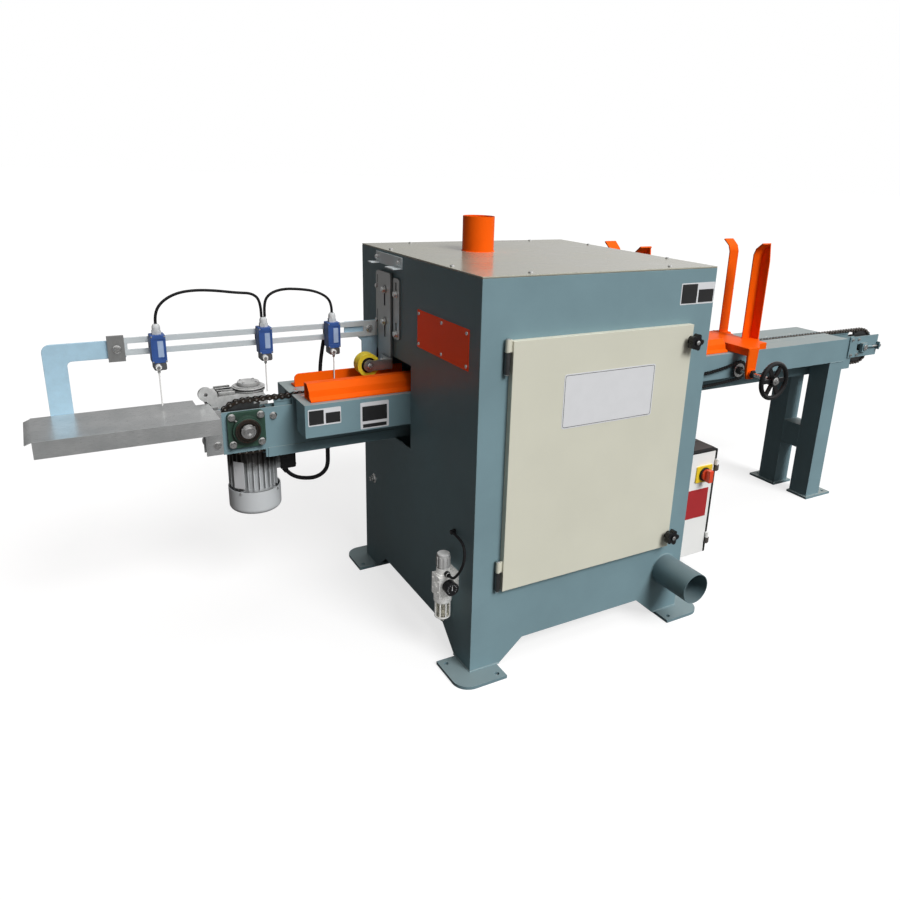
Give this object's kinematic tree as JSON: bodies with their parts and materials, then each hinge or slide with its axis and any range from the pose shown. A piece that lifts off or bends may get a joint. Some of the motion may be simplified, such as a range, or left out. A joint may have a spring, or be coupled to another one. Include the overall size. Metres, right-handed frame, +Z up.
{
  "type": "board chamfering machine",
  "caption": "Board chamfering machine: steel cabinet with a chain feed table running through it, a board hopper at one end, outfeed tray with limit switches at the other.",
  "frame": {"origin": "on the floor under the middle of the cabinet, at the centre of its floor bolts", "axes": "+X along the feed table towards the hopper, +Y to the back, +Z up"},
  "size_m": [3.538, 1.013, 1.262],
  "materials": {
    "blue_grey_paint": "semi-gloss",
    "lid_paint": "gloss",
    "door_paint": "fine texture",
    "orange_paint": "semi-gloss",
    "zinc_sheet": "galvanised",
    "dark_steel": "oiled",
    "bright_steel": "turned",
    "green_casting": "painted",
    "cast_aluminium": "cast",
    "black_plastic": "satin",
    "grey_plastic": "satin",
    "cable_black": "matte",
    "switch_blue": "satin",
    "yellow_rubber": "satin",
    "air_silver": "satin",
    "clear_bowl": "clear",
    "white_paint": "fine texture",
    "red_plastic": "gloss"
  },
  "bodies": {
    "frame": {"cabinet": "blue_grey_paint", "foot_plates": "blue_grey_paint", "lid": "lid_paint", "top_dust_pipe": "orange_paint", "front_dust_pipe": "blue_grey_paint", "front_beam": "blue_grey_paint", "rear_beam": "blue_grey_paint", "stand": "blue_grey_paint", "chain_channel": "blue_grey_paint", "drive_chain": "dark_steel", "flange_bearing": "green_casting", "gearbox": "cast_aluminium", "drive_motor": "cast_aluminium", "fan_cover": "cast_aluminium", "terminal_box": "black_plastic", "motor_cable": "cable_black", "outfeed_tray": "zinc_sheet", "rail_brackets": "zinc_sheet", "sensor_rail": "zinc_sheet", "rail_clamp": "dark_steel", "limit_switches": "switch_blue", "switch_cables": "cable_black", "front_guides": "orange_paint", "rear_guide": "orange_paint", "press_mount": "dark_steel", "door_hinges": "zinc_sheet", "regulator_body": "air_silver", "regulator_bowl": "clear_bowl", "pressure_gauge": "air_silver", "air_tube": "cable_black", "electrical_box": "white_paint", "estop_housing": "black_plastic", "hopper_frames": "orange_paint", "adjust_chain": "dark_steel", "take_up": "zinc_sheet", "cutter_rails": "blue_grey_paint"},
    "drive": {"drive_shaft": "bright_steel", "drive_sprocket": "dark_steel"},
    "idler": {"idler_sprocket": "dark_steel"},
    "lever_1": {"lever_1": "bright_steel"},
    "lever_2": {"lever_2": "bright_steel"},
    "lever_3": {"lever_3": "bright_steel"},
    "press_slide": {"press_slide": "dark_steel"},
    "press_wheel": {"press_wheel": "yellow_rubber"},
    "door": {"door": "door_paint"},
    "knob_upper": {"knob_upper": "black_plastic"},
    "knob_lower": {"knob_lower": "black_plastic"},
    "regulator_knob": {"regulator_knob": "grey_plastic"},
    "electrical_door": {"electrical_door": "white_paint"},
    "main_switch": {"main_switch": "red_plastic"},
    "estop_button": {"estop_button": "red_plastic"},
    "hopper_arm_near": {"hopper_arm_near": "orange_paint"},
    "hopper_arm_far": {"hopper_arm_far": "orange_paint"},
    "screw_far": {"screw_far": "bright_steel"},
    "cutter_unit_front": {"cutter_unit_front": "cast_aluminium"},
    "cutter_unit_rear": {"cutter_unit_rear": "cast_aluminium"},
    "cutter_head_front": {"cutter_head_front": "bright_steel"},
    "cutter_head_rear": {"cutter_head_rear": "bright_steel"},
    "hand_screw": {"screw_near": "bright_steel", "handwheel": "black_plastic"}
  },
  "joints": [
    {"name": "drive_spin", "type": "hinge", "parent": "frame", "child": "drive", "pos_m": [-0.8715, 0.155, 0.66098], "axis": [0, 1, 0], "continuous": true, "deforming": ["drive_chain"]},
    {"name": "idler_spin", "type": "hinge", "parent": "frame", "child": "idler", "pos_m": [1.986, 0.155, 0.66098], "axis": [0, 1, 0], "continuous": true},
    {"name": "lever_1_swing", "type": "hinge", "parent": "frame", "child": "lever_1", "pos_m": [-1.081, 0.2093, 0.847], "axis": [0, 1, 0], "range_deg": [-30, 30], "stiffness_Nm_per_rad": 0.3},
    {"name": "lever_2_swing", "type": "hinge", "parent": "frame", "child": "lever_2", "pos_m": [-0.785, 0.2093, 0.847], "axis": [0, 1, 0], "range_deg": [-30, 30], "stiffness_Nm_per_rad": 0.3},
    {"name": "lever_3_swing", "type": "hinge", "parent": "frame", "child": "lever_3", "pos_m": [-0.574, 0.2093, 0.847], "axis": [0, 1, 0], "range_deg": [-30, 30], "stiffness_Nm_per_rad": 0.3},
    {"name": "press_lift", "type": "slide", "parent": "frame", "child": "press_slide", "axis": [0, 0, 1], "range_m": [0, 0.04], "stiffness_N_per_m": 2500, "springref_m": -0.02},
    {"name": "press_spin", "type": "hinge", "parent": "press_slide", "child": "press_wheel", "pos_m": [-0.487, 0.155, 0.812], "axis": [0, 1, 0], "continuous": true},
    {"name": "door_swing", "type": "hinge", "parent": "frame", "child": "door", "pos_m": [-0.325, -0.411, 0.6275], "axis": [0, 0, -1], "range_deg": [0, 110]},
    {"name": "knob_upper_turn", "type": "hinge", "parent": "door", "child": "knob_upper", "pos_m": [0.305, -0.42, 0.943], "axis": [0, 1, 0], "range_deg": [0, 90]},
    {"name": "knob_lower_turn", "type": "hinge", "parent": "door", "child": "knob_lower", "pos_m": [0.305, -0.42, 0.307], "axis": [0, 1, 0], "range_deg": [0, 90]},
    {"name": "regulator_turn", "type": "hinge", "parent": "frame", "child": "regulator_knob", "pos_m": [-0.436, -0.29, 0.333], "axis": [0, 0, 1], "range_deg": [-170, 170]},
    {"name": "electrical_door_swing", "type": "hinge", "parent": "frame", "child": "electrical_door", "pos_m": [0.671, -0.26, 0.283], "axis": [0, 0, 1], "range_deg": [0, 110]},
    {"name": "main_switch_turn", "type": "hinge", "parent": "electrical_door", "child": "main_switch", "pos_m": [0.617, -0.27, 0.401], "axis": [0, 1, 0], "range_deg": [0, 90]},
    {"name": "estop_push", "type": "slide", "parent": "frame", "child": "estop_button", "axis": [-1, 0, 0], "range_m": [0, 0.006], "stiffness_N_per_m": 1200, "springref_m": -0.003},
    {"name": "handwheel_turn", "type": "hinge", "parent": "frame", "child": "hand_screw", "pos_m": [1.022, 0, 0.676], "axis": [0, 1, 0], "range_deg": [0, 2160], "deforming": ["adjust_chain"]},
    {"name": "screw_far_turn", "type": "hinge", "parent": "frame", "child": "screw_far", "pos_m": [0.515, 0, 0.676], "axis": [0, 1, 0], "range_deg": [0, 2160]},
    {"name": "arm_near_slide", "type": "slide", "parent": "frame", "child": "hopper_arm_near", "axis": [0, -1, 0], "range_m": [0, 0.06]},
    {"name": "arm_far_slide", "type": "slide", "parent": "frame", "child": "hopper_arm_far", "axis": [0, -1, 0], "range_m": [0, 0.06]},
    {"name": "cutter_front_slide", "type": "slide", "parent": "frame", "child": "cutter_unit_front", "axis": [0, 1, 0], "range_m": [-0.012, 0.012]},
    {"name": "cutter_front_spin", "type": "hinge", "parent": "cutter_unit_front", "child": "cutter_head_front", "pos_m": [-0.09, 0.066, 0.77], "axis": [0, 0, 1], "continuous": true},
    {"name": "cutter_rear_slide", "type": "slide", "parent": "frame", "child": "cutter_unit_rear", "axis": [0, 1, 0], "range_m": [-0.012, 0.012]},
    {"name": "cutter_rear_spin", "type": "hinge", "parent": "cutter_unit_rear", "child": "cutter_head_rear", "pos_m": [0.09, 0.244, 0.77], "axis": [0, 0, 1], "continuous": true}
  ],
  "couplings": [
    {"joint": "idler_spin", "follows": "drive_spin", "ratio": 1},
    {"joint": "screw_far_turn", "follows": "handwheel_turn", "ratio": 1},
    {"joint": "arm_near_slide", "follows": "handwheel_turn", "m_per_rad": 0.0015915},
    {"joint": "arm_far_slide", "follows": "handwheel_turn", "m_per_rad": 0.0015915}
  ]
}
